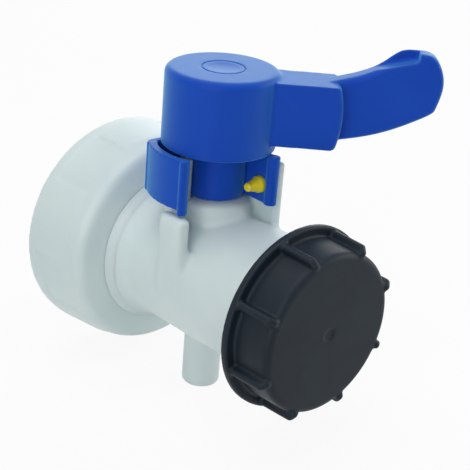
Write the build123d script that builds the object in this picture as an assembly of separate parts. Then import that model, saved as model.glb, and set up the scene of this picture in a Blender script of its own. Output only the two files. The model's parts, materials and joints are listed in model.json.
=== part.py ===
from build123d import *
import os
from math import cos, radians, sin, sqrt

# Butterfly valve for the outlet of a bulk liquid container. Millimetres, +Z up.
# The origin is the centre of the inlet mouth, and the liquid runs towards -Y.
# Pieces are drawn about the crossing of the flow axis (Y) and the stem axis (Z), then moved to the origin.

# Clearances
running = 0.06       # shaft in its bush
free = 0.3           # neighbouring bodies that move past each other

# Flow tube
bore_r = 24.0
tube_wall = 4.5
inlet_reach = 63.0   # stem axis to the rim of the union nut
outlet_reach = 66.0  # stem axis to the outlet's end face
thread_r = 30.0      # crest of the 60 mm coarse outlet thread
thread_depth = 2.4
thread_length = 15.5

# Inlet spigot and union nut
spigot_wall = 6.6
flare_start = 14.0   # stem axis to where the tube begins to widen towards the nut
flare_height = 3.0   # flare's lip above the spigot
groove_lead = 1.0
groove_depth = 1.9
groove_width = 2.6
ring_t = 7.0         # retaining ring, flush with the spigot's end face
flange_height = 10.4
gasket_thickness = 3.0
gasket_set_back = 1.0
chamber_gap = 1.0    # room round the ring inside the nut
thread_step = 1.5    # inlet thread wall outside the ring's chamber
nut_wall = 5.3
nut_taper = 1.6
nut_length = 32.0
nut_front_wall = 5.6
nut_front_dish = 2.4
nut_edge_r = 5.4
nut_band = 5.0       # plain band at the nut's rim
nut_lug_height = 1.4
nut_lug_lead = 3.0
nut_lug_angle = 40.0
nut_lug_turn = 234.0
nut_lugs = 5

# Neck, lower boss, side pillar and lock wall of the body
neck_r = 15.8
neck_shoulder_z = 35.4
neck_top_r = 9.4
neck_top_z = 54.0
saddle_r = 3.0
boss_wall = 1.7
boss_end_z = -54.0
boss_edge_r = 1.5
pillar_reach = 29.8  # stem axis to the pillar's outer face
pillar_width = 6.3
pillar_front = 13.6
pillar_back = 0.9
pillar_low_z = -3.5
pillar_top_z = 33.4
pillar_edge_r = 2.4
pillar_foot_r = 6.0
pillar_root_r = 2.4
wall_thickness = 4.2
wall_front = 23.0
wall_top_z = 52.4
wall_edge_r = 1.4

# Stem, bushes, seals and retainers
stem_r = 6.0
foot_r = 5.0         # lower journal
foot_top_z = -24.6
stem_low_z = -46.5
foot_room = 1.0      # under the stem's end
square_side = 9.0
square_length = 16.0
square_lead = 2.0
bush_wall = 1.5
bush_flange_r = 9.3
bush_flange_t = 2.0
upper_bush_length = 14.0
lower_bush_length = 18.0
ring_section_r = 1.3
ring_squeeze = 0.05
ring_heights = (30.0, 35.0)
washer_t = 1.0
washer_r = 9.0
circlip_t = 1.2
circlip_r = 8.6
circlip_groove = 0.9
circlip_gap = 5.0

# Disc
disc_gap = 0.35      # disc to bore
disc_thickness = 8.0
disc_dish_r = 70.0
disc_edge = 5.4      # thickness at the rim
disc_hub_r = 9.5
seal_gap = 0.1       # seal lip to bore
seal_width = 3.0
seal_depth = 2.6
pin_r = 2.0
pin_spread = 12.0
pin_sunk = 0.5

# Handle
lever_angle = -43.7  # plan angle of the lever in the closed position
hub_r = 23.4
hub_base_z = 56.8
hub_top_z = 88.8
hub_edge_r = 3.0
hub_wall = 3.2
hub_roof = 11.0
hub_boss_r = 9.0
recess_r = 8.6
recess_depth = 3.0
cover_sunk = 0.6
cover_edge = 0.4
screw_r = 2.5
screw_head_r = 4.6
screw_head_h = 2.4
socket_r = 2.3
socket_depth = 1.6
screw_depth = 12.0
arm_near = 11.3
arm_far = 9.2
arm_reach = 46.4
arm_bulge = 2.0      # rounding of the arm's end face
arm_base_z = 61.0
arm_top_z = 87.0
arm_waist = 15.7     # length of the waist on the arm's far side
arm_end_r = 1.8
arm_flare_angle = 50.0
arm_root_sunk = 4.0
grip_width = 9.6
grip_reach = 87.2
grip_root = 8.0      # length of the grip inside the arm
grip_root_top_z = 85.9
grip_root_base_z = 61.4
grip_middle = 62.0   # stem axis to the middle of the grip's lower edge
grip_middle_base_z = 66.6
grip_tip_top_z = 98.0
grip_tip_base_z = 74.4
grip_edge_r = 2.0
lip_start = 63.5
lip_start_z = 95.8
lip_height = 3.2
lip_rise = 5.5       # length over which the lip climbs
lip_round = 1.1
scoop_end = 76.5
nose_z = 87.8        # foremost point of the tip
nose_half = 8.2
nose_round = 1.7
tip_lead = 3.0       # scoop's end to where the tip's lower edge begins
scoop_wall = 2.6

# Lock collar
sleeve_r = 12.0
sleeve_base_z = 36.0
sleeve_inner_r = 9.9
flange_t = 3.0
skirt_r = 28.3
skirt_t = 3.4
skirt_back_angle = 145.0
skirt_front_angle = 203.0
bead_r = 2.6
bead_drop = 2.0
lug_x = 8.0          # stem axis to the lug's inner face
lug_t = 3.5
lug_front = 23.0
lug_bead_drop = 1.0
back_wall_y = 18.4
back_wall_t = 3.2
corner_r = 2.3
back_wall_end = 2.0  # how far the back wall runs past the stem axis
collar_screw_r = 1.6
collar_screw_head_r = 3.0
collar_screw_head_h = 1.8
collar_screw_pcd = 30.0
collar_screw_depth = 9.0
collar_screw_turn = 20.0
collar_screws_count = 2
screw_post_wall = 2.2

# Lock pin
pin_y = -17.8
pin_z = 43.2
plug_r = 3.5
plug_proud = 1.2     # plug's rim inside the lug's face
pin_nose_r = 1.9
pin_nose_length = 6.2
pin_tip_r = 0.6

# Dust cap
cap_lead = 50.6      # stem axis to the cap's open end
cap_wall_r = 34.4
cap_front_r = 33.9
cap_flange_r = 38.8
cap_flange_t = 3.2
cap_roof = 3.0
cap_edge_r = 2.8
cap_gasket_t = 1.5
cap_gasket_gap = 0.25
cap_ribs = 8
cap_rib_angle = 20.0
cap_rib_width = 3.4
cap_rib_tip_r = 36.9
cap_rib_proud = 0.5
cap_rib_root = 2.4   # depth of the rib's root in the wall
cap_rib_slope = 0.6
cap_rib_nose = 2.0
cap_rib_edge_r = 1.2
cap_thread_gap = 0.4
gate_r = 3.0
gate_depth = 0.5

# Sizes that follow from the ones above
tube_r = bore_r + tube_wall
thread_core_r = thread_r - thread_depth
thread_start = outlet_reach - thread_length
spigot_r = bore_r + spigot_wall
groove_r = spigot_r - groove_depth
flare_r = spigot_r + flare_height
flange_r = spigot_r + flange_height
nut_chamber_r = flange_r + chamber_gap
nut_bore_r = nut_chamber_r + thread_step
nut_rim_r = nut_bore_r + nut_wall
nut_base_r = nut_rim_r - nut_lug_height
nut_front_r = nut_base_r - nut_taper
nut_front = inlet_reach - nut_length
nut_lip = nut_front - nut_front_dish
nut_seat = nut_front + nut_front_wall
ring_front = nut_seat + free
groove_front = ring_front + groove_lead
groove_back = groove_front + groove_width
spigot_end = ring_front + ring_t
gasket_face = spigot_end + gasket_thickness
stem_bore_r = stem_r + bush_wall
foot_bore_r = foot_r + bush_wall
boss_r = foot_bore_r + boss_wall
lug_middle = lug_x + lug_t / 2
wall_x = lug_middle + bead_r + free
wall_back = back_wall_end + free
bush_top_z = neck_top_z + bush_flange_t
washer_top_z = bush_top_z + washer_t
circlip_top_z = washer_top_z + circlip_t
square_base_z = circlip_top_z + square_lead
square_top_z = square_base_z + square_length
hub_ceiling_z = hub_top_z - hub_roof
cap_roof_y = -(outlet_reach + 2 * cap_gasket_gap + cap_gasket_t)
cap_face_y = cap_roof_y - cap_roof
disc_r = bore_r - disc_gap
seal_r = bore_r - seal_gap
to_origin = Pos(0, -inlet_reach, 0)


def around_flow(*points):
    """Revolve a (radius, y) outline about the flow axis."""
    return revolve(make_face(Polyline(*points, close=True)), Axis.Y)


def around_stem(*points):
    """Revolve a (radius, z) outline about the stem axis."""
    return revolve(make_face(Plane.XZ * Polyline(*points, close=True)), Axis.Z)


def along_flow(radius, y_from, y_to):
    return around_flow((0, y_from), (radius, y_from), (radius, y_to), (0, y_to))


def upright(radius, z_from, z_to):
    return Pos(0, 0, z_from) * Cylinder(radius, z_to - z_from, align=(Align.CENTER, Align.CENTER, Align.MIN))


def block(x_from, x_to, y_from, y_to, z_from, z_to):
    centre = Pos((x_from + x_to) / 2, (y_from + y_to) / 2, (z_from + z_to) / 2)
    return centre * Box(x_to - x_from, y_to - y_from, z_to - z_from)


def make_valve_body():
    lip = nut_lip - free
    flare = TangentArc((tube_r, flare_start), (flare_r, lip), tangent=(0, 1))
    outline = Polyline(
        (flare_r, lip), (spigot_r, lip), (spigot_r, groove_front), (groove_r, groove_front),
        (groove_r, groove_back), (spigot_r, groove_back), (spigot_r, spigot_end), (0, spigot_end),
        (0, -outlet_reach), (thread_core_r, -outlet_reach), (thread_core_r, -thread_start),
        (tube_r, -thread_start), (tube_r, flare_start))
    tube = revolve(make_face(flare + outline), Axis.Y)
    body = tube + upright(neck_r, 0, neck_shoulder_z) + upright(boss_r, boss_end_z, 0)
    saddle = body.edges().filter_by(GeomType.BSPLINE)
    body = fillet(saddle, saddle_r)
    boss_rim = body.edges().filter_by(GeomType.CIRCLE).sort_by(Axis.Z)[0]
    body = fillet(boss_rim, boss_edge_r)
    body += upright(neck_top_r, neck_shoulder_z, neck_top_z)
    inner = pillar_width - pillar_reach
    pillar = block(-pillar_reach, inner, -pillar_front, pillar_back, pillar_low_z, pillar_top_z)
    pillar = fillet(pillar.edges().filter_by(Axis.X).group_by(Axis.Z)[0], pillar_foot_r)
    pillar = tube + fillet(pillar.faces().sort_by(Axis.X)[0].edges(), pillar_edge_r)
    pillar_roots = pillar.edges().filter_by(GeomType.CIRCLE).filter_by(
        lambda e: abs(e.radius - tube_r) < 0.01 and -pillar_front - 0.01 < e.arc_center.Y < pillar_back + 0.01)
    pillar = fillet(pillar_roots, pillar_root_r)
    wall = block(wall_x, wall_x + wall_thickness, -wall_front, -wall_back, 0, wall_top_z)
    wall = fillet(wall.edges().filter_by(Axis.X).group_by(Axis.Z)[-1], wall_edge_r)
    body = body + pillar + wall
    body -= along_flow(bore_r, -outlet_reach - 1, spigot_end + 1)
    body -= upright(foot_bore_r, stem_low_z - foot_room, 0)
    body -= upright(stem_bore_r, 0, neck_top_z + 1)
    hole = Pos(wall_x, pin_y, pin_z) * Rot(0, 90, 0) * Cylinder(plug_r + free, 4 * wall_thickness)
    return body - hole


def make_union_nut():
    band_start = inlet_reach - nut_band
    nut = around_flow(
        (spigot_r + free, nut_lip), (flare_r, nut_lip), (nut_front_r, nut_front),
        (nut_base_r, band_start - nut_lug_height), (nut_rim_r, band_start), (nut_rim_r, inlet_reach),
        (nut_bore_r, inlet_reach), (nut_bore_r, gasket_face), (nut_chamber_r, gasket_face),
        (nut_chamber_r, nut_seat), (spigot_r + free, nut_seat))
    shoulder = nut.edges().filter_by(GeomType.CIRCLE).filter_by(lambda e: abs(e.radius - nut_front_r) < 0.01)
    nut = fillet(shoulder, nut_edge_r)
    lug_start = nut_front + nut_edge_r
    lug_face = make_face(Polyline(
        (nut_chamber_r, lug_start), (nut_front_r, lug_start),
        (nut_front_r + nut_lug_height, lug_start + nut_lug_lead), (nut_rim_r, band_start),
        (nut_chamber_r, band_start), close=True))
    lug = Rot(0, -nut_lug_angle / 2, 0) * revolve(lug_face, Axis.Y, nut_lug_angle)
    lug = chamfer(lug.edges().filter_by(GeomType.LINE).group_by(SortBy.DISTANCE)[-1], nut_lug_height)
    lugs = Part() + [Rot(0, -(nut_lug_turn + index * 360 / nut_lugs), 0) * lug for index in range(nut_lugs)]
    chamber = along_flow(nut_chamber_r, nut_seat, gasket_face)
    chamber += along_flow(nut_bore_r, gasket_face, inlet_reach)
    return nut + (lugs - chamber)


def make_nut_retaining_ring():
    return around_flow(
        (spigot_r, ring_front), (flange_r, ring_front), (flange_r, spigot_end), (spigot_r, spigot_end),
        (spigot_r, groove_back), (groove_r, groove_back), (groove_r, groove_front), (spigot_r, groove_front))


def make_inlet_gasket():
    hole_r = bore_r + gasket_set_back
    return around_flow(
        (hole_r, spigot_end), (flange_r, spigot_end), (flange_r, gasket_face), (hole_r, gasket_face))


def make_upper_stem_bush():
    inner = stem_r + running
    low = neck_top_z - upper_bush_length
    return around_stem(
        (inner, low), (stem_bore_r, low), (stem_bore_r, neck_top_z), (bush_flange_r, neck_top_z),
        (bush_flange_r, bush_top_z), (inner, bush_top_z))


def make_lower_stem_bush():
    low = stem_low_z - foot_room
    inner = foot_r + running
    top = low + lower_bush_length
    return around_stem((inner, low), (foot_bore_r, low), (foot_bore_r, top), (inner, top))


def make_stem():
    stem = upright(stem_r, foot_top_z, square_base_z) + upright(foot_r, stem_low_z, foot_top_z)
    stem += Pos(0, 0, (square_base_z + square_top_z) / 2) * Box(square_side, square_side, square_length)
    groove_floor = stem_bore_r - running - 2 * ring_section_r + ring_squeeze
    for height in ring_heights:
        low, high = height - ring_section_r, height + ring_section_r
        stem -= around_stem((groove_floor, low), (stem_r + 1, low), (stem_r + 1, high), (groove_floor, high))
    clip_floor = stem_r - circlip_groove
    stem -= around_stem(
        (clip_floor, washer_top_z), (stem_r + 1, washer_top_z),
        (stem_r + 1, circlip_top_z), (clip_floor, circlip_top_z))
    for height in (-pin_spread, pin_spread):
        stem -= Pos(0, 0, height) * Rot(90, 0, 0) * Cylinder(pin_r, 4 * stem_r)
    return stem - upright(screw_r, square_top_z - screw_depth, square_top_z + 1)


def make_stem_o_rings():
    ring_r = stem_bore_r - running - ring_section_r
    return Compound(children=[Pos(0, 0, height) * Torus(ring_r, ring_section_r) for height in ring_heights])


def make_thrust_washer():
    return around_stem(
        (stem_r, bush_top_z), (washer_r, bush_top_z), (washer_r, washer_top_z), (stem_r, washer_top_z))


def make_stem_circlip():
    inner = stem_r - circlip_groove
    clip = around_stem(
        (inner, washer_top_z), (circlip_r, washer_top_z), (circlip_r, circlip_top_z), (inner, circlip_top_z))
    return clip - block(0, 2 * circlip_r, -circlip_gap / 2, circlip_gap / 2, washer_top_z, circlip_top_z)


def seal_zone(outer_r):
    """Band round the disc's edge, widened to a pad where the stem passes through it."""
    band = Box(2 * outer_r, seal_width, 2 * outer_r) + Cylinder(disc_hub_r, 2 * outer_r)
    return (Sphere(outer_r) - Sphere(disc_r - seal_depth)) & band


def make_butterfly_disc():
    lens_offset = disc_dish_r - disc_thickness / 2
    lens = Pos(0, lens_offset, 0) * Sphere(disc_dish_r) & Pos(0, -lens_offset, 0) * Sphere(disc_dish_r)
    edge_plate = Box(2 * bore_r, disc_edge, 2 * bore_r)
    disc = (lens + edge_plate + Cylinder(disc_hub_r, 2 * bore_r)) & Sphere(disc_r)
    disc -= seal_zone(bore_r + 1)
    disc -= Cylinder(stem_r, 3 * bore_r)
    for height in (-pin_spread, pin_spread):
        disc -= Pos(0, 0, height) * Rot(90, 0, 0) * Cylinder(pin_r, 4 * disc_hub_r)
    return disc


def make_disc_seal():
    return seal_zone(seal_r) - Cylinder(stem_r, 3 * bore_r)


def make_disc_pins():
    pin = Rot(90, 0, 0) * Cylinder(pin_r, 2 * (disc_hub_r - pin_sunk))
    return Compound(children=[Pos(0, 0, height) * pin for height in (-pin_spread, pin_spread)])


def collar_screw_spots():
    return Rot(0, 0, collar_screw_turn) * PolarLocations(collar_screw_pcd / 2, collar_screws_count)


def make_hub():
    hub = upright(hub_r, hub_base_z, hub_top_z)
    return fillet(hub.edges().sort_by(Axis.Z)[-1], hub_edge_r)


def make_arm():
    """Arm root along +X: straight on the near side (-Y), waisted into the hub on the far side."""
    near_x = sqrt(hub_r ** 2 - arm_near ** 2) - arm_root_sunk / 2
    flare = hub_r * cos(radians(arm_flare_angle))
    rise = hub_r * sin(radians(arm_flare_angle))
    root = (flare - arm_root_sunk, rise - arm_root_sunk)
    waist_end = flare + arm_waist
    end_x = arm_reach + 2 * arm_bulge
    outline = Polyline(
        root, (0, 0), (near_x, -arm_near), (end_x, -arm_near), (end_x, arm_far), (waist_end, arm_far))
    waist = Spline((waist_end, arm_far), root, tangents=((-1, 0), (-0.55, 0.6)))
    plan = Pos(0, 0, arm_base_z) * extrude(make_face(outline + waist), arm_top_z - arm_base_z)
    end = ThreePointArc((arm_reach, arm_base_z), (arm_reach + arm_bulge, (arm_base_z + arm_top_z) / 2),
                        (arm_reach, arm_top_z))
    sides = Polyline((arm_reach, arm_top_z), (0, arm_top_z), (0, arm_base_z), (arm_reach, arm_base_z))
    profile = extrude(Plane.XZ * make_face(sides + end), 2 * hub_r, both=True)
    arm = plan & profile
    return fillet(arm.faces().sort_by(Axis.X)[-1].edges(), arm_end_r)


def make_grip():
    """Blade that rises from the arm, with a raised lip and a thumb scoop at the tip."""
    root_x = arm_reach - grip_root
    top_root, top_tip = (root_x, grip_root_top_z), (scoop_end, grip_tip_top_z)
    lip_top_z = grip_tip_top_z + lip_height
    lip_high = (lip_start + lip_rise, lip_top_z - lip_round)
    lip_end = (scoop_end + lip_round, lip_top_z)
    base_tip, base_root = (scoop_end + tip_lead, grip_tip_base_z), (root_x, grip_root_base_z)
    shoulder_x = grip_reach - nose_round
    near_top = Spline(top_root, top_tip, tangents=((1, 0.4), (1, 0.26)))
    upper = Spline(top_root, (lip_start, lip_start_z), lip_high, lip_end, tangents=((1, 0.36), (1, 0)))
    tip = Spline(
        lip_end, (shoulder_x, nose_z + nose_half), (grip_reach, nose_z), (shoulder_x, nose_z - nose_half),
        base_tip, tangents=((1, 0), (-1, -0.55)))
    middle = (grip_middle, grip_middle_base_z)
    lower = Spline(base_tip, middle, base_root, tangents=((-1, -0.55), (-1, -0.2)))
    close_root = Line(base_root, top_root)
    side = make_face(upper + tip + lower + close_root)
    grip = extrude(Plane.XZ * side, grip_width / 2, both=True)
    rims = grip.edges().filter_by(lambda e: e.center().X > arm_reach and abs(e.center().Y) > 1)
    grip = fillet(rims, grip_edge_r)
    sky = grip_tip_top_z + 4 * lip_height
    over = Polyline(top_tip, (scoop_end, sky), (root_x, sky), top_root)
    scoop = extrude(Plane.XZ * make_face(near_top + over), 2 * grip_width)
    return grip - Pos(0, grip_width / 2 - scoop_wall, 0) * scoop


def make_lever_handle():
    handle = make_hub() + Rot(0, 0, lever_angle) * make_arm() + Rot(0, 0, lever_angle) * make_grip()
    handle -= upright(hub_r - hub_wall, hub_base_z - 1, hub_ceiling_z)
    handle += upright(hub_boss_r, square_base_z, hub_ceiling_z + 1)
    post_r = collar_screw_r + screw_post_wall
    for spot in collar_screw_spots():
        handle += spot * upright(post_r, hub_base_z + flange_t + free, hub_ceiling_z + 1)
        handle -= spot * upright(collar_screw_r, hub_base_z, hub_base_z + collar_screw_depth)
    handle -= Pos(0, 0, (square_base_z + square_top_z) / 2) * Box(square_side, square_side, square_length)
    handle -= upright(screw_r, square_base_z, hub_top_z)
    handle -= upright(recess_r, hub_top_z - recess_depth, hub_top_z + 1)
    handle -= upright(screw_head_r, hub_top_z - recess_depth - screw_head_h, hub_top_z)
    return handle


def make_screw_cover():
    low = hub_top_z - recess_depth
    cover = upright(recess_r, low, hub_top_z - cover_sunk)
    return chamfer(cover.edges().sort_by(Axis.Z)[-1], cover_edge)


def make_handle_screw():
    seat = hub_top_z - recess_depth - screw_head_h
    head = upright(screw_head_r, seat, seat + screw_head_h)
    screw = head + upright(screw_r, square_top_z - screw_depth, seat)
    socket = Pos(0, 0, seat + screw_head_h) * extrude(RegularPolygon(socket_r, 6), -socket_depth)
    return screw - socket


def make_lock_collar():
    top_z = hub_base_z + flange_t
    sleeve = upright(sleeve_r, sleeve_base_z, top_z)
    flange = upright(hub_r - hub_wall - free / 2, hub_base_z + free, top_z)
    rim_z = hub_base_z - free
    lug = block(lug_x, lug_x + lug_t, -lug_front, 0, sleeve_base_z, rim_z)
    lug += Pos(lug_middle, -lug_front, 0) * upright(bead_r, sleeve_base_z - lug_bead_drop, rim_z)
    mid_r = skirt_r - skirt_t / 2
    skirt_face = make_face(Plane.XZ * Polyline(
        (skirt_r - skirt_t, sleeve_base_z), (skirt_r, sleeve_base_z),
        (skirt_r, hub_base_z), (skirt_r - skirt_t, hub_base_z), close=True))
    sweep = skirt_front_angle - skirt_back_angle
    skirt = Rot(0, 0, skirt_back_angle) * revolve(skirt_face, Axis.Z, sweep)
    front = radians(skirt_front_angle)
    bead_at = Pos(mid_r * cos(front), mid_r * sin(front), 0)
    skirt += bead_at * upright(bead_r, sleeve_base_z - bead_drop, hub_base_z)
    corner = radians(skirt_back_angle)
    back_x = mid_r * cos(corner)
    back_wall = block(back_x, back_wall_end, back_wall_y - back_wall_t, back_wall_y, sleeve_base_z, rim_z)
    corner_post = Pos(back_x, mid_r * sin(corner), 0) * upright(corner_r, sleeve_base_z, rim_z)
    web = block(-back_wall_end, back_wall_end, 0, back_wall_y, sleeve_base_z, rim_z)
    collar = sleeve + flange + lug + back_wall + web + skirt + corner_post
    collar -= upright(sleeve_inner_r, sleeve_base_z - 1, top_z + 1)
    for spot in collar_screw_spots():
        collar -= spot * upright(collar_screw_r, hub_base_z, top_z + 1)
    pin_hole = Pos(lug_middle, pin_y, pin_z) * Rot(0, 90, 0) * Cylinder(plug_r + running, 4 * lug_t)
    return collar - pin_hole


def make_collar_screws():
    seat = hub_base_z + free
    screw = upright(collar_screw_r, seat, hub_base_z + collar_screw_depth)
    screw += upright(collar_screw_head_r, seat - collar_screw_head_h, seat)
    return Compound(children=[spot * screw for spot in collar_screw_spots()])


def make_lock_pin():
    """Push pin along X: a nose to push, and a plug whose end is flush inside the lug at rest."""
    plug_end = lug_x + lug_t - free
    plug_start = lug_x - plug_proud
    nose_end = plug_start - pin_nose_length
    nose_back = nose_end + pin_nose_r
    outline = Polyline(
        (nose_end, 0), (nose_end, pin_nose_r - pin_tip_r), (nose_end + pin_tip_r, pin_nose_r),
        (nose_back, pin_nose_r), (plug_start - plug_proud, plug_r - pin_tip_r), (plug_start, plug_r),
        (plug_end, plug_r), (plug_end, 0), close=True)
    return Pos(0, pin_y, pin_z) * revolve(make_face(outline), Axis.X)


def make_dust_cap():
    flange_y = -(cap_lead + cap_flange_t)
    shell = around_flow((0, cap_face_y), (cap_front_r, cap_face_y), (cap_wall_r, flange_y),
                        (cap_flange_r, flange_y), (cap_flange_r, -cap_lead), (0, -cap_lead))
    shell = fillet(shell.edges().filter_by(GeomType.CIRCLE).sort_by(Axis.Y)[0], cap_edge_r)
    rib_end = cap_face_y - cap_rib_proud
    rib_root = cap_front_r - cap_rib_root
    rib_foot = flange_y + cap_flange_t / 2
    rib_face = make_face(Polyline(
        (rib_root, rib_foot), (cap_rib_tip_r + 2 * cap_rib_slope, rib_foot),
        (cap_rib_tip_r + cap_rib_slope, rib_end + cap_rib_nose), (cap_rib_tip_r - cap_rib_nose, rib_end),
        (cap_front_r - cap_rib_slope, rib_end), (rib_root, rib_end + cap_rib_root), close=True))
    rib = extrude(rib_face, cap_rib_width / 2, both=True)
    rib = fillet(rib.edges().filter_by(lambda e: abs(e.center().Z) > cap_rib_width / 2 - 0.01
                                       and e.center().X > cap_front_r), cap_rib_edge_r)
    for index in range(cap_ribs):
        shell += Rot(0, -(cap_rib_angle + index * 360 / cap_ribs), 0) * rib
    shell -= along_flow(thread_r + cap_thread_gap, cap_roof_y, -cap_lead + 1)
    return shell - along_flow(gate_r, cap_face_y - 1, cap_face_y + gate_depth)


def make_cap_gasket():
    low = cap_roof_y + cap_gasket_gap
    return along_flow(thread_r - running, low, low + cap_gasket_t)


pieces = {
    "valve_body": make_valve_body,
    "union_nut": make_union_nut,
    "nut_retaining_ring": make_nut_retaining_ring,
    "inlet_gasket": make_inlet_gasket,
    "upper_stem_bush": make_upper_stem_bush,
    "lower_stem_bush": make_lower_stem_bush,
    "stem": make_stem,
    "stem_o_rings": make_stem_o_rings,
    "thrust_washer": make_thrust_washer,
    "stem_circlip": make_stem_circlip,
    "butterfly_disc": make_butterfly_disc,
    "disc_seal": make_disc_seal,
    "disc_pins": make_disc_pins,
    "lever_handle": make_lever_handle,
    "screw_cover": make_screw_cover,
    "handle_screw": make_handle_screw,
    "lock_collar": make_lock_collar,
    "collar_screws": make_collar_screws,
    "lock_pin": make_lock_pin,
    "dust_cap": make_dust_cap,
    "cap_gasket": make_cap_gasket,
}

os.makedirs("parts", exist_ok=True)
for name, make in pieces.items():
    export_step(to_origin * make(), f"parts/{name}.step")
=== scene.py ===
import bpy
import json
from math import atan2, cos, degrees, pi, radians, sin
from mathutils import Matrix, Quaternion, Vector


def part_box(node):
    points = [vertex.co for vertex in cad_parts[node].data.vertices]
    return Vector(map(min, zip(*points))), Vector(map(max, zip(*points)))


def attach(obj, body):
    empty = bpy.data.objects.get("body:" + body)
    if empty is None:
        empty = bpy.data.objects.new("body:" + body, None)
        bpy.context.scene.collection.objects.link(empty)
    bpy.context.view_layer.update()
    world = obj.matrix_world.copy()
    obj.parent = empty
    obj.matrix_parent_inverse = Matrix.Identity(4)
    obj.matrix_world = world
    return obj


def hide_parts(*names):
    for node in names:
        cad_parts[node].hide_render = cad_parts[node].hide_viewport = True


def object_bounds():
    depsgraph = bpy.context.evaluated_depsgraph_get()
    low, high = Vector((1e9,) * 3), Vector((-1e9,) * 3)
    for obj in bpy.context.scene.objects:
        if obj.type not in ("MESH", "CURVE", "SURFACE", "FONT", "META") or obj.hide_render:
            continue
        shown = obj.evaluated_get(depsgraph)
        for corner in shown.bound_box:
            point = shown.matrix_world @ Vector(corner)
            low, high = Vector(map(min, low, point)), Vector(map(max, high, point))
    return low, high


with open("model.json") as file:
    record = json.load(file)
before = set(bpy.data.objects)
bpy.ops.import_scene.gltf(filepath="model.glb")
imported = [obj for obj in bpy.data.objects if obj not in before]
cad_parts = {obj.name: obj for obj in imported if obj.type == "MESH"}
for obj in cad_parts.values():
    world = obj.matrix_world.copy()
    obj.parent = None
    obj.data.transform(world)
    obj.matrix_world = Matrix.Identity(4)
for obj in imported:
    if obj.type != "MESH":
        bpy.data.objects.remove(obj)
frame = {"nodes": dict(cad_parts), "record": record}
nodes = frame["nodes"]
cadLow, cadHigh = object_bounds()
mm = 0.001
smoothAngle = radians(40)  # edges sharper than this stay crisp
print("frame loaded:", len(nodes), "nodes")


# sRGB hex to the linear values that the shader sockets take
def linear(hexCode):
    channels = [int(hexCode[at:at + 2], 16) / 255 for at in (1, 3, 5)]
    return [c / 12.92 if c <= 0.04045 else ((c + 0.055) / 1.055) ** 2.4 for c in channels] + [1.0]


# a pattern whose grain is this many millimetres wide, on Object coordinates in metres
def grain(sizeMm):
    return 1 / (sizeMm * mm)


def addNode(tree, kind, settings=None, links=None):
    node = tree.nodes.new(kind)
    for key, value in (settings or {}).items():
        if hasattr(node, key):
            setattr(node, key, value)
        else:
            node.inputs[key].default_value = value
    for key, source in (links or {}).items():
        tree.links.new(source, node.inputs[key])
    return node


def startMaterial(name, settings):
    material = bpy.data.materials.new(name)
    material.use_nodes = True
    tree = material.node_tree
    shader = tree.nodes["Principled BSDF"]
    for key, value in settings.items():
        shader.inputs[key].default_value = value
    place = addNode(tree, "ShaderNodeTexCoord").outputs["Object"]
    return material, tree, shader, place


# two tints that drift into each other over a broad patch
def driftingColour(tree, shader, place, tintA, tintB, patchMm):
    clouds = addNode(tree, "ShaderNodeTexNoise", {"Scale": grain(patchMm), "Detail": 3.0}, {"Vector": place})
    ramp = addNode(tree, "ShaderNodeValToRGB", links={"Fac": clouds.outputs["Fac"]})
    ramp.color_ramp.elements[0].position = 0.3
    ramp.color_ramp.elements[1].position = 0.7
    ramp.color_ramp.elements[0].color = linear(tintA)
    ramp.color_ramp.elements[1].color = linear(tintB)
    tree.links.new(ramp.outputs["Color"], shader.inputs["Base Color"])


def driftingRoughness(tree, shader, place, low, high, patchMm):
    patches = addNode(tree, "ShaderNodeTexNoise", {"Scale": grain(patchMm), "Detail": 4.0}, {"Vector": place})
    spread = addNode(tree, "ShaderNodeMapRange", {"To Min": low, "To Max": high},
                     {"Value": patches.outputs["Fac"]})
    tree.links.new(spread.outputs["Result"], shader.inputs["Roughness"])


# grain of the mould's skin: a few hundredths of a millimetre wide in truth, drawn coarser so that it shows
def fineTexture(tree, shader, place, sizeMm, heightMm, strength):
    grit = addNode(tree, "ShaderNodeTexNoise", {"Scale": grain(sizeMm), "Detail": 2.0}, {"Vector": place})
    bump = addNode(tree, "ShaderNodeBump", {"Strength": strength, "Distance": heightMm * mm},
                   {"Height": grit.outputs["Fac"]})
    tree.links.new(bump.outputs["Normal"], shader.inputs["Normal"])


# Natural polyethylene, injection moulded: milky, a little see-through at thin walls, waxy satin skin
def naturalPolyethylene():
    material, tree, shader, place = startMaterial("naturalPolyethylene", {
        "IOR": 1.54, "Subsurface Weight": 0.4, "Subsurface Radius": (1.0, 0.95, 0.8),
        "Subsurface Scale": 4 * mm})
    driftingColour(tree, shader, place, "#CFDEDF", "#D8E5E5", 30)
    driftingRoughness(tree, shader, place, 0.4, 0.52, 7)
    fineTexture(tree, shader, place, 1.6, 0.05, 0.25)
    return material


# Pigmented polypropylene, moulded and lightly polished: deep blue, hazed paler at a low angle
def bluePolypropylene():
    material, tree, shader, place = startMaterial("bluePolypropylene", {
        "IOR": 1.49, "Specular IOR Level": 0.1, "Sheen Weight": 0.6, "Sheen Roughness": 0.5,
        "Sheen Tint": linear("#7CE1FF")})
    driftingColour(tree, shader, place, "#1044B6", "#1448BC", 24)
    driftingRoughness(tree, shader, place, 0.3, 0.4, 5)
    fineTexture(tree, shader, place, 1.2, 0.04, 0.22)
    return material


# Carbon black polypropylene from a spark-eroded mould: charcoal with a dry sheen
def blackPolypropylene():
    material, tree, shader, place = startMaterial("blackPolypropylene", {
        "IOR": 1.49, "Specular IOR Level": 0.2})
    driftingColour(tree, shader, place, "#121D26", "#17232D", 18)
    driftingRoughness(tree, shader, place, 0.42, 0.55, 4)
    fineTexture(tree, shader, place, 0.9, 0.05, 0.3)
    return material


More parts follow.
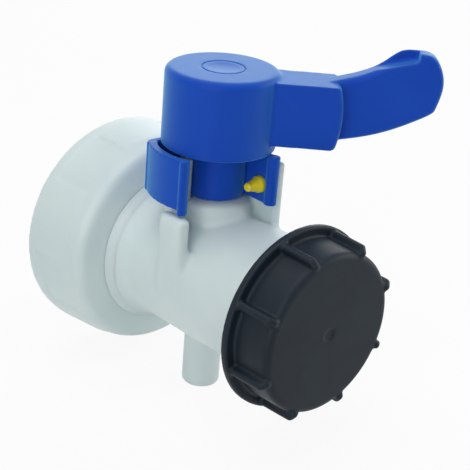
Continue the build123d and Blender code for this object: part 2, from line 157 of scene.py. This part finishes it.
# Yellow nylon, moulded small: slightly glassy
def yellowNylon():
    material, tree, shader, place = startMaterial("yellowNylon", {
        "IOR": 1.53, "Subsurface Weight": 0.15, "Subsurface Radius": (1.0, 0.7, 0.2),
        "Subsurface Scale": 1 * mm})
    driftingColour(tree, shader, place, "#EBD80C", "#F2E11A", 6)
    driftingRoughness(tree, shader, place, 0.3, 0.42, 3)
    fineTexture(tree, shader, place, 0.8, 0.03, 0.25)
    return material


# Acetal, turned from bar: dense white, faint tool lines
def whiteAcetal():
    material, tree, shader, place = startMaterial("whiteAcetal", {"IOR": 1.48})
    driftingColour(tree, shader, place, "#E6E5DF", "#EDECE7", 12)
    driftingRoughness(tree, shader, place, 0.35, 0.45, 4)
    fineTexture(tree, shader, place, 0.7, 0.03, 0.2)
    return material


# Peroxide-cured EPDM, pressed: dull black with a grey bloom
def pressedRubber():
    material, tree, shader, place = startMaterial("pressedRubber", {"IOR": 1.52})
    driftingColour(tree, shader, place, "#1C1C1D", "#242425", 9)
    driftingRoughness(tree, shader, place, 0.62, 0.78, 3)
    fineTexture(tree, shader, place, 0.6, 0.04, 0.3)
    return material


# Stainless steel, turned: bright grey with fine lathe marks
def turnedSteel():
    material, tree, shader, place = startMaterial("turnedSteel", {"Metallic": 1.0})
    driftingColour(tree, shader, place, "#B9BCBE", "#C9CBCC", 8)
    driftingRoughness(tree, shader, place, 0.24, 0.36, 2)
    fineTexture(tree, shader, place, 0.5, 0.02, 0.2)
    return material


finishes = {
    "natural_hdpe": naturalPolyethylene(),
    "blue_plastic": bluePolypropylene(),
    "black_plastic": blackPolypropylene(),
    "yellow_plastic": yellowNylon(),
    "white_acetal": whiteAcetal(),
    "rubber": pressedRubber(),
    "steel": turnedSteel(),
}
slotOf = {part["node"]: part["material_slot"] for part in frame["record"]["subparts"]}
bodyOf = {node: body for body, members in frame["record"]["behaviour"]["bodies"].items() for node in members}
for name, node in nodes.items():
    node.data.materials.clear()
    node.data.materials.append(finishes[slotOf[name]])
print("finishes made:", len(finishes))


def onlySelect(piece):
    bpy.ops.object.select_all(action="DESELECT")
    piece.select_set(True)
    bpy.context.view_layer.objects.active = piece


def applyAll(piece):
    onlySelect(piece)
    for modifier in list(piece.modifiers):
        bpy.ops.object.modifier_apply(modifier=modifier.name)


def pickFaces(piece, wanted):
    onlySelect(piece)
    bpy.ops.object.mode_set(mode="EDIT")
    bpy.ops.mesh.select_mode(type="FACE")
    bpy.ops.mesh.select_all(action="DESELECT")
    bpy.ops.object.mode_set(mode="OBJECT")
    for face in piece.data.polygons:
        face.select = wanted(face)


def dress(piece, slotName, bodyName):
    piece.data.materials.clear()
    piece.data.materials.append(finishes[slotName])
    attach(piece, bodyName)


def smoothPasses(piece, passes, groupName=""):
    soften = piece.modifiers.new("soften", "SMOOTH")
    soften.factor = 0.5
    soften.iterations = passes
    soften.vertex_group = groupName
    applyAll(piece)


def rollEdges(piece, widthMm):
    roll = piece.modifiers.new("roll", "BEVEL")
    roll.width = widthMm * mm
    roll.segments = 4
    roll.limit_method = "ANGLE"
    roll.angle_limit = radians(60)
    applyAll(piece)
    bpy.ops.object.shade_smooth_by_angle(angle=smoothAngle)


def faceOutwards(piece):
    onlySelect(piece)
    bpy.ops.object.mode_set(mode="EDIT")
    bpy.ops.mesh.select_all(action="SELECT")
    bpy.ops.mesh.normals_make_consistent(inside=False)
    bpy.ops.object.mode_set(mode="OBJECT")
    bpy.ops.object.shade_smooth_by_angle(angle=smoothAngle)


weldMm = 0.005  # corners of the loose triangles are merged within this


# the moulded skin of a node: same form, with the small radii that a mould leaves on every edge
def mouldedSkin(nodeName, pieceName, voxelMm, passes):
    piece = bpy.data.objects.new(pieceName, nodes[nodeName].data.copy())
    bpy.context.scene.collection.objects.link(piece)
    onlySelect(piece)
    bpy.ops.object.mode_set(mode="EDIT")
    bpy.ops.mesh.select_all(action="SELECT")
    bpy.ops.mesh.remove_doubles(threshold=weldMm * mm)
    bpy.ops.object.mode_set(mode="OBJECT")
    skin = piece.modifiers.new("skin", "REMESH")
    skin.mode = "VOXEL"
    skin.voxel_size = voxelMm * mm
    smoothPasses(piece, passes)
    bpy.ops.object.shade_smooth()
    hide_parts(nodeName)
    dress(piece, slotOf[nodeName], bodyOf[nodeName])
    print("moulded skin:", pieceName, len(piece.data.polygons), "faces")


mouldings = {
    "valve_body": {"piece": "bodyMoulding", "voxelMm": 0.8, "passes": 5},
    "union_nut": {"piece": "nutMoulding", "voxelMm": 0.6, "passes": 26},
    "lever_handle": {"piece": "leverMoulding", "voxelMm": 0.5, "passes": 8},
    "lock_collar": {"piece": "collarMoulding", "voxelMm": 0.4, "passes": 7},
    "lock_pin": {"piece": "pinMoulding", "voxelMm": 0.16, "passes": 8},
    "dust_cap": {"piece": "capMoulding", "voxelMm": 0.5, "passes": 9},
    "butterfly_disc": {"piece": "discMoulding", "voxelMm": 0.4, "passes": 6},
}
for nodeName, recipe in mouldings.items():
    mouldedSkin(nodeName, recipe["piece"], recipe["voxelMm"], recipe["passes"])

stemY = -63.0  # stem axis along the flow, in millimetres
# beads at the ends of skirt and lock lug, drawn in to the slim rolls of the real moulding
skirtBead = {"from": 190.0, "to": 240.0, "share": 0.72, "outsideMm": 20.0}
lugBead = {"frontMm": stemY - 20.0, "lowMm": 35.9}
# chamfer under the screw boss, which stops against the lock wall
bossFoot = {"fromMm": 1.0, "toMm": 2.8, "backMm": stemY + 12.3, "lowMm": 36.0, "highMm": 37.2, "rise": 0.85}


def slimBeads():
    collar = bpy.data.objects["collarMoulding"]
    for point in collar.data.vertices:
        arm = Vector((point.co.x, point.co.y - stemY * mm))
        turn = degrees(atan2(arm.y, arm.x)) % 360
        if arm.length > skirtBead["outsideMm"] * mm and skirtBead["from"] < turn < skirtBead["to"]:
            turn = radians(skirtBead["from"] + (turn - skirtBead["from"]) * skirtBead["share"])
            point.co.x = arm.length * cos(turn)
            point.co.y = arm.length * sin(turn) + stemY * mm
        elif point.co.x > 0 and point.co.y < lugBead["frontMm"] * mm:
            point.co.z = max(point.co.z, lugBead["lowMm"] * mm)
        elif point.co.y > bossFoot["backMm"] * mm and point.co.z < bossFoot["highMm"] * mm:
            if bossFoot["fromMm"] * mm < point.co.x < bossFoot["toMm"] * mm:
                rise = bossFoot["rise"] * (point.co.x - bossFoot["fromMm"] * mm)
                point.co.z = max(point.co.z, bossFoot["lowMm"] * mm + rise)
    print("beads slimmed")


# top of the neck, rolled over to a wide radius under the sleeve
neckPlan = {"radiusMm": 15.8, "topMm": 35.4, "rollMm": 4.0, "wallMm": 11.8, "margin": 1.1}


def rollNeck():
    body = bpy.data.objects["bodyMoulding"]
    roll = neckPlan["rollMm"] * mm
    limit = neckPlan["margin"] * roll
    innerR, innerZ = neckPlan["radiusMm"] * mm - roll, neckPlan["topMm"] * mm - roll
    for point in body.data.vertices:
        arm = Vector((point.co.x, point.co.y - stemY * mm))
        out, up = arm.length - innerR, point.co.z - innerZ
        reach = (out ** 2 + up ** 2) ** 0.5
        clearOfWall = point.co.x < neckPlan["wallMm"] * mm
        if clearOfWall and 0 < out < limit and 0 < up < limit and reach > roll:
            arm *= (innerR + out * roll / reach) / arm.length
            point.co = (arm.x, arm.y + stemY * mm, innerZ + up * roll / reach)
    print("neck rolled over")


# places where the moulding flows softly into the body: sizes in millimetres about the stem axis
softPlaces = {
    "pillar": {"low": (-32, -22, -8), "high": (-15, 6, 34), "passes": 46},
    "shoulder": {"low": (-17, -17, 29), "high": (11, 12, 35.9), "passes": 9},
}


def softenPlace(piece, plan):
    low, high = (Vector((x, y + stemY, z)) * mm for x, y, z in (plan["low"], plan["high"]))
    inside = [p.index for p in piece.data.vertices if all(low[i] < p.co[i] < high[i] for i in range(3))]
    group = piece.vertex_groups.new(name="soft")
    group.add(inside, 1.0, "REPLACE")
    smoothPasses(piece, plan["passes"], "soft")
    piece.vertex_groups.remove(piece.vertex_groups["soft"])
    print("softened:", len(inside), "points")


slimBeads()
rollNeck()
for plan in softPlaces.values():
    softenPlace(bpy.data.objects["bodyMoulding"], plan)


# insert that closes the screw recess: a shallow dish with a rolled edge, almost level with the hub
coverPlan = {"radiusMm": 8.55, "recessMm": 0.6, "levelMm": 0.12, "edgeMm": 0.35, "rimMm": 1.6,
             "dishMm": 0.2, "slopeMm": 0.8, "sides": 96}


def coverInsert():
    low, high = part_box("screw_cover")
    top = high.z + (coverPlan["recessMm"] - coverPlan["levelMm"]) * mm
    bpy.ops.object.select_all(action="DESELECT")
    bpy.ops.mesh.primitive_cylinder_add(
        vertices=coverPlan["sides"], radius=coverPlan["radiusMm"] * mm, depth=top - low.z,
        location=(0, (low.y + high.y) / 2, (low.z + top) / 2))
    cover = bpy.context.object
    cover.name = "coverInsert"
    bpy.ops.object.transform_apply(location=True, rotation=True, scale=True)
    pickFaces(cover, lambda face: face.normal.z > 0.9)
    bpy.ops.object.mode_set(mode="EDIT")
    bpy.ops.mesh.inset(thickness=coverPlan["rimMm"] * mm)
    bpy.ops.mesh.inset(thickness=coverPlan["slopeMm"] * mm, depth=-coverPlan["dishMm"] * mm)
    bpy.ops.object.mode_set(mode="OBJECT")
    rollEdges(cover, coverPlan["edgeMm"])
    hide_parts("screw_cover")
    dress(cover, "blue_plastic", "handle")
    print("cover insert made")


# upright rib of the body behind the sleeve: the lock pin's nose stops in front of it at the end of the turn
stopRibPlan = {"low": (-22.0, stemY + 0.2, 16.0), "high": (-12.6, stemY + 5.8, 52.0), "edgeMm": 0.6}


def stopRib():
    low, high = Vector(stopRibPlan["low"]) * mm, Vector(stopRibPlan["high"]) * mm
    bpy.ops.object.select_all(action="DESELECT")
    bpy.ops.mesh.primitive_cube_add(size=1, location=(low + high) / 2)
    rib = bpy.context.object
    rib.name = "stopRib"
    rib.scale = high - low
    bpy.ops.object.transform_apply(location=True, rotation=True, scale=True)
    rollEdges(rib, stopRibPlan["edgeMm"])
    dress(rib, "natural_hdpe", "valve")
    print("stop rib made")


# coarse threads, one tooth drawn flat and swept about the flow axis; sizes in millimetres
threads = {
    "outletThread": {
        "foot": 27.4, "crest": 29.9, "footWidth": 3.3, "crestWidth": 1.5, "pitch": 6.0, "turns": 2.1,
        "from": stemY - 65.0, "phase": 0.0, "fade": 14, "slot": "natural_hdpe", "body": "valve"},
    "capThread": {
        "foot": 30.7, "crest": 28.5, "footWidth": 2.2, "crestWidth": 1.1, "pitch": 6.0, "turns": 1.8,
        "from": stemY - 64.6, "phase": 204.0, "fade": 14, "slot": "black_plastic", "body": "cap"},
    "nutThread": {
        "foot": 43.9, "crest": 42.2, "footWidth": 3.6, "crestWidth": 1.4, "pitch": 6.0, "turns": 2.0,
        "from": -14.0, "phase": 90.0, "fade": 16, "slot": "natural_hdpe", "body": "nut"},
}
toothPlan = {"edgeMm": 0.35, "edgeSegments": 3, "stepsPerTurn": 72, "tipRings": 0.6}


def sweptThread(name, plan):
    bpy.ops.object.select_all(action="DESELECT")
    bpy.ops.mesh.primitive_plane_add(size=1)
    tooth = bpy.context.object
    tooth.name = name
    height = plan["crest"] - plan["foot"]
    bpy.ops.object.mode_set(mode="EDIT")
    bpy.ops.transform.resize(value=(abs(height) * mm, plan["footWidth"] * mm, 1))
    bpy.ops.object.mode_set(mode="OBJECT")
    for corner in tooth.data.vertices:
        corner.select = corner.co.x * height > 0
    bpy.ops.object.mode_set(mode="EDIT")
    bpy.ops.mesh.select_mode(type="VERT")
    bpy.ops.transform.resize(value=(1, plan["crestWidth"] / plan["footWidth"], 1))
    bpy.ops.mesh.bevel(offset=toothPlan["edgeMm"] * mm, segments=toothPlan["edgeSegments"], affect="VERTICES")
    bpy.ops.mesh.select_all(action="SELECT")
    bpy.ops.transform.translate(value=((plan["foot"] + plan["crest"]) / 2 * mm, plan["from"] * mm, 0))
    bpy.ops.mesh.delete(type="ONLY_FACE")
    bpy.ops.object.mode_set(mode="OBJECT")
    ringSize = len(tooth.data.vertices)
    steps = round(toothPlan["stepsPerTurn"] * plan["turns"])
    sweep = tooth.modifiers.new("sweep", "SCREW")
    sweep.axis = "Y"
    sweep.angle = 2 * pi * plan["turns"]
    sweep.screw_offset = plan["pitch"] * plan["turns"] * mm
    sweep.steps = sweep.render_steps = steps
    sweep.use_merge_vertices = False
    applyAll(tooth)
    turn = Quaternion((0, 1, 0), radians(plan["phase"]))
    for point in tooth.data.vertices:
        ring = point.index // ringSize
        fade = min(1, (min(ring, steps - ring) + toothPlan["tipRings"]) / plan["fade"])
        radius = Vector((point.co.x, 0, point.co.z)).length
        share = (plan["foot"] * mm + (radius - plan["foot"] * mm) * fade) / radius
        point.co = turn @ Vector((point.co.x * share, point.co.y, point.co.z * share))
    onlySelect(tooth)
    bpy.ops.object.mode_set(mode="EDIT")
    bpy.ops.mesh.select_all(action="SELECT")
    bpy.ops.mesh.fill_holes(sides=0)
    bpy.ops.object.mode_set(mode="OBJECT")
    faceOutwards(tooth)
    dress(tooth, plan["slot"], plan["body"])
    print("thread swept:", name, len(tooth.data.polygons), "faces")


# crisp lip of the flare, where the nut's face runs against it; arc and lip in millimetres
flarePlan = {"centreR": 51.1, "centreY": 14.0, "arcR": 22.6, "from": 20.0, "to": 39.2, "points": 14,
             "sunk": 0.25, "proud": 0.06, "lipY": 28.54, "outerR": 33.5, "innerR": 31.6, "steps": 160,
             "weldMm": 0.001}


def flareLip():
    bpy.ops.object.select_all(action="DESELECT")
    bpy.ops.mesh.primitive_circle_add(vertices=flarePlan["points"] + 2, radius=1 * mm)
    lip = bpy.context.object
    lip.name = "flareLip"
    for point in lip.data.vertices:
        share = point.index / (flarePlan["points"] - 1)
        if share <= 1:
            turn = radians(flarePlan["from"] + share * (flarePlan["to"] - flarePlan["from"]))
            arc = flarePlan["arcR"] + flarePlan["sunk"] * (1 - share) ** 3 - flarePlan["proud"]
            spot = (flarePlan["centreR"] - arc * cos(turn), flarePlan["centreY"] + arc * sin(turn))
        elif point.index == flarePlan["points"]:
            spot = (flarePlan["outerR"], flarePlan["lipY"])
        else:
            spot = (flarePlan["innerR"], flarePlan["lipY"])
        point.co = Vector((spot[0], spot[1] + stemY, 0)) * mm
    spin = lip.modifiers.new("spin", "SCREW")
    spin.axis = "Y"
    spin.steps = spin.render_steps = flarePlan["steps"]
    spin.use_merge_vertices = True
    spin.merge_threshold = flarePlan["weldMm"] * mm
    applyAll(lip)
    faceOutwards(lip)
    dress(lip, "natural_hdpe", "valve")
    print("flare lip spun:", len(lip.data.polygons), "faces")


coverInsert()
flareLip()
stopRib()
for name, plan in threads.items():
    sweptThread(name, plan)


# 1 for what the eye sees directly or in a reflection, 0 for what only gives light
def seenByEye(tree):
    path = addNode(tree, "ShaderNodeLightPath")
    seen = addNode(tree, "ShaderNodeMath", {"operation": "MAXIMUM"},
                   {0: path.outputs["Is Camera Ray"], 1: path.outputs["Is Glossy Ray"]})
    return seen.outputs["Value"]


# floor: pale, with most of its white given straight to the camera so that only the contact shadow shows
floorPlan = {"size": 6.0, "colour": "#F2F3F3", "white": 0.9}


def paleFloor():
    bpy.ops.object.select_all(action="DESELECT")
    bpy.ops.mesh.primitive_plane_add(size=floorPlan["size"], location=(0, cadLow.y, cadLow.z))
    floor = bpy.context.object
    floor.name = "floor"
    material = bpy.data.materials.new("paleFloor")
    material.use_nodes = True
    tree = material.node_tree
    tree.nodes.clear()
    share = addNode(tree, "ShaderNodeMath", {"operation": "MULTIPLY"}, {0: seenByEye(tree)})
    share.inputs[1].default_value = floorPlan["white"]
    matt = addNode(tree, "ShaderNodeBsdfDiffuse", {"Color": linear(floorPlan["colour"])})
    glow = addNode(tree, "ShaderNodeEmission", {"Color": (1, 1, 1, 1), "Strength": 1.0})
    mix = addNode(tree, "ShaderNodeMixShader", links={
        0: share.outputs["Value"], 1: matt.outputs["BSDF"], 2: glow.outputs["Emission"]})
    addNode(tree, "ShaderNodeOutputMaterial", links={"Surface": mix.outputs["Shader"]})
    floor.data.materials.append(material)


# white surroundings: full white to the eye and in reflections, less as light
roomLight = 0.17


def whiteRoom():
    world = bpy.data.worlds.new("whiteRoom")
    world.use_nodes = True
    bpy.context.scene.world = world
    tree = world.node_tree
    level = addNode(tree, "ShaderNodeMapRange", {"To Min": roomLight, "To Max": 1.0},
                    {"Value": seenByEye(tree)})
    background = tree.nodes["Background"]
    background.inputs["Color"].default_value = (1, 1, 1, 1)
    tree.links.new(level.outputs["Result"], background.inputs["Strength"])


# square soft lamps, placed in metres from the middle of the valve
middle = (cadLow + cadHigh) / 2
lamps = {
    "overheadLight": {"from": (-0.15, 0.1, 1.0), "size": 1.0, "watts": 6.0},
    "backLight": {"from": (0.8, 0.8, 0.45), "size": 1.0, "watts": 4.4},
    "leftLight": {"from": (-1.0, -0.45, 0.35), "size": 0.8, "watts": 4.7},
    "rightLight": {"from": (0.9, -0.5, 0.35), "size": 0.8, "watts": 4.5},
}


def softLamp(name, plan):
    data = bpy.data.lights.new(name, "AREA")
    data.size = plan["size"]
    data.energy = plan["watts"]
    lamp = bpy.data.objects.new(name, data)
    lamp.location = middle + Vector(plan["from"])
    lamp.rotation_mode = "QUATERNION"
    lamp.rotation_quaternion = (middle - lamp.location).to_track_quat("-Z", "Y")
    bpy.context.scene.collection.objects.link(lamp)


paleFloor()
whiteRoom()
for name, plan in lamps.items():
    softLamp(name, plan)
print("stage lit:", len(lamps), "lamps")

# camera: where the photograph was taken from, as angles about the aim point
shot = {"aim": (0.0117, -0.0655, 0.0137), "azimuth": -44.66, "elevation": 23.99, "roll": 4.86,
        "distance": 0.5317, "lens": 95.74, "sensor": 36.0, "clipStart": 0.01}


def photoCamera():
    data = bpy.data.cameras.new("photoCamera")
    data.lens = shot["lens"]
    data.sensor_width = shot["sensor"]
    data.clip_start = shot["clipStart"]
    camera = bpy.data.objects.new("photoCamera", data)
    turn, lift = radians(shot["azimuth"]), radians(shot["elevation"])
    back = Vector((sin(turn) * cos(lift), -cos(turn) * cos(lift), sin(lift)))
    camera.location = Vector(shot["aim"]) + back * shot["distance"]
    camera.rotation_mode = "QUATERNION"
    roll = Quaternion((0, 0, 1), radians(shot["roll"]))
    camera.rotation_quaternion = (-back).to_track_quat("-Z", "Y") @ roll
    bpy.context.scene.collection.objects.link(camera)
    bpy.context.scene.camera = camera


photoCamera()
bpy.context.scene.view_settings.view_transform = "Standard"
print("camera set")
